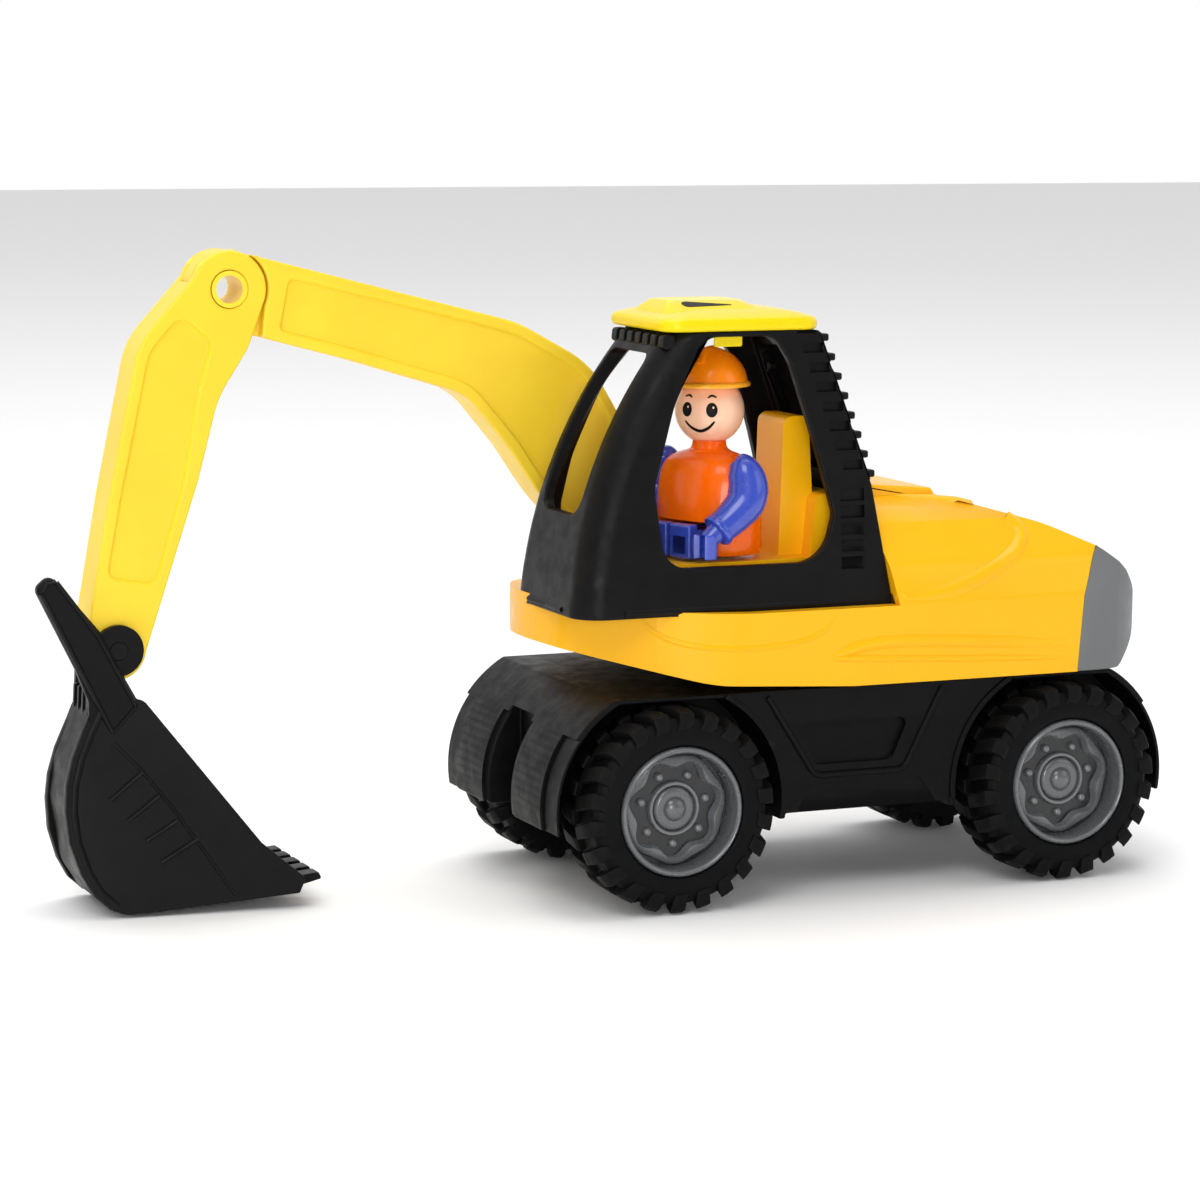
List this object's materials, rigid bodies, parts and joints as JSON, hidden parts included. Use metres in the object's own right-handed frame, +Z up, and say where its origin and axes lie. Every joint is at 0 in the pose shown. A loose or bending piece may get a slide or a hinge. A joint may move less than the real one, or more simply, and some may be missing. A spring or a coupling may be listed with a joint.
{
  "type": "toy excavator",
  "caption": "Wheeled plastic toy excavator: turning upper body with open cab and driver, tail cap, jointed boom, stick and toothed bucket.",
  "frame": {"origin": "on the floor plane that the four tyres stand on, on the turntable axis, midway between the axles", "axes": "+X forward towards the bucket, +Y the toy's left (the driver's door), +Z up"},
  "size_m": [0.3369, 0.104, 0.189],
  "materials": {
    "yellow_body": "satin moulded plastic, orange-yellow",
    "yellow_arm": "satin moulded plastic, yellow",
    "yellow_roof": "satin moulded plastic, lemon yellow",
    "black_plastic": "fine-grained black moulded plastic",
    "grey_plastic": "mid-grey moulded plastic",
    "wheel_silver": "silver-grey moulded plastic",
    "tyre": "soft black tyre",
    "steel": "plain steel",
    "orange_plastic": "gloss orange plastic",
    "brim_plastic": "gloss yellow-orange plastic",
    "blue_plastic": "gloss blue plastic",
    "skin_plastic": "satin pale pink-tan plastic"
  },
  "bodies": {
    "chassis": {"chassis": "black_plastic", "belly_plate": "black_plastic", "belly_screws": "steel"},
    "front_wheels": {"front_axle": "steel", "tyre_front_left": "tyre", "tyre_front_right": "tyre", "rim_front_left": "wheel_silver", "rim_front_right": "wheel_silver", "hub_cap_front_left": "wheel_silver", "hub_cap_front_right": "wheel_silver"},
    "rear_wheels": {"rear_axle": "steel", "tyre_rear_left": "tyre", "tyre_rear_right": "tyre", "rim_rear_left": "wheel_silver", "rim_rear_right": "wheel_silver", "hub_cap_rear_left": "wheel_silver", "hub_cap_rear_right": "wheel_silver"},
    "upper_body": {"body_shell": "yellow_body", "body_tray": "black_plastic", "tail_cap": "grey_plastic", "tray_screws": "steel", "turntable_post": "yellow_body", "turntable_washer": "black_plastic", "turntable_screw": "steel", "cab_frame": "black_plastic", "roof": "yellow_roof", "boom_pin": "steel"},
    "boom": {"boom": "yellow_arm", "elbow_bush": "yellow_arm"},
    "stick": {"stick": "yellow_arm"},
    "bucket": {"bucket": "black_plastic", "bucket_pin": "black_plastic"},
    "driver": {"driver_torso": "orange_plastic"},
    "driver_legs": {"driver_legs": "blue_plastic"},
    "driver_arm_left": {"driver_arm_left": "blue_plastic"},
    "driver_arm_right": {"driver_arm_right": "blue_plastic"},
    "driver_head": {"driver_head": "skin_plastic", "driver_helmet": "orange_plastic", "driver_helmet_brim": "brim_plastic"}
  },
  "joints": [
    {"name": "front_axle_spin", "type": "hinge", "parent": "chassis", "child": "front_wheels", "pos_m": [0.0637, 0, 0.03], "axis": [0, 1, 0], "continuous": true},
    {"name": "rear_axle_spin", "type": "hinge", "parent": "chassis", "child": "rear_wheels", "pos_m": [-0.0637, 0, 0.03], "axis": [0, 1, 0], "continuous": true},
    {"name": "slew", "type": "hinge", "parent": "chassis", "child": "upper_body", "pos_m": [0, 0, 0.063], "axis": [0, 0, 1], "continuous": true},
    {"name": "boom_lift", "type": "hinge", "parent": "upper_body", "child": "boom", "pos_m": [0.052, -0.02, 0.101], "axis": [0, -1, 0], "range_deg": [-5, 40]},
    {"name": "stick_swing", "type": "hinge", "parent": "boom", "child": "stick", "pos_m": [0.178, -0.02, 0.178], "axis": [0, 1, 0], "range_deg": [-50, 10]},
    {"name": "bucket_curl", "type": "hinge", "parent": "stick", "child": "bucket", "pos_m": [0.2125, -0.02, 0.076], "axis": [0, 1, 0], "range_deg": [-30, 25]},
    {"name": "driver_out", "type": "slide", "parent": "upper_body", "child": "driver", "axis": [0, 1, 0], "range_m": [0, 0.08]},
    {"name": "driver_head_turn", "type": "hinge", "parent": "driver", "child": "driver_head", "pos_m": [0.042, 0.0195, 0.135], "axis": [0, 0, 1], "range_deg": [-60, 45]},
    {"name": "driver_left_shoulder", "type": "hinge", "parent": "driver", "child": "driver_arm_left", "pos_m": [0.03639, 0.03491, 0.1249], "axis": [0.342, -0.9397, 0], "range_deg": [0, 35]},
    {"name": "driver_right_shoulder", "type": "hinge", "parent": "driver", "child": "driver_arm_right", "pos_m": [0.04761, 0.00409, 0.1249], "axis": [0.342, -0.9397, 0], "range_deg": [0, 35]},
    {"name": "driver_hips", "type": "hinge", "parent": "driver", "child": "driver_legs", "pos_m": [0.04106, 0.01916, 0.1045], "axis": [0.342, -0.9397, 0], "range_deg": [0, 6]}
  ]
}
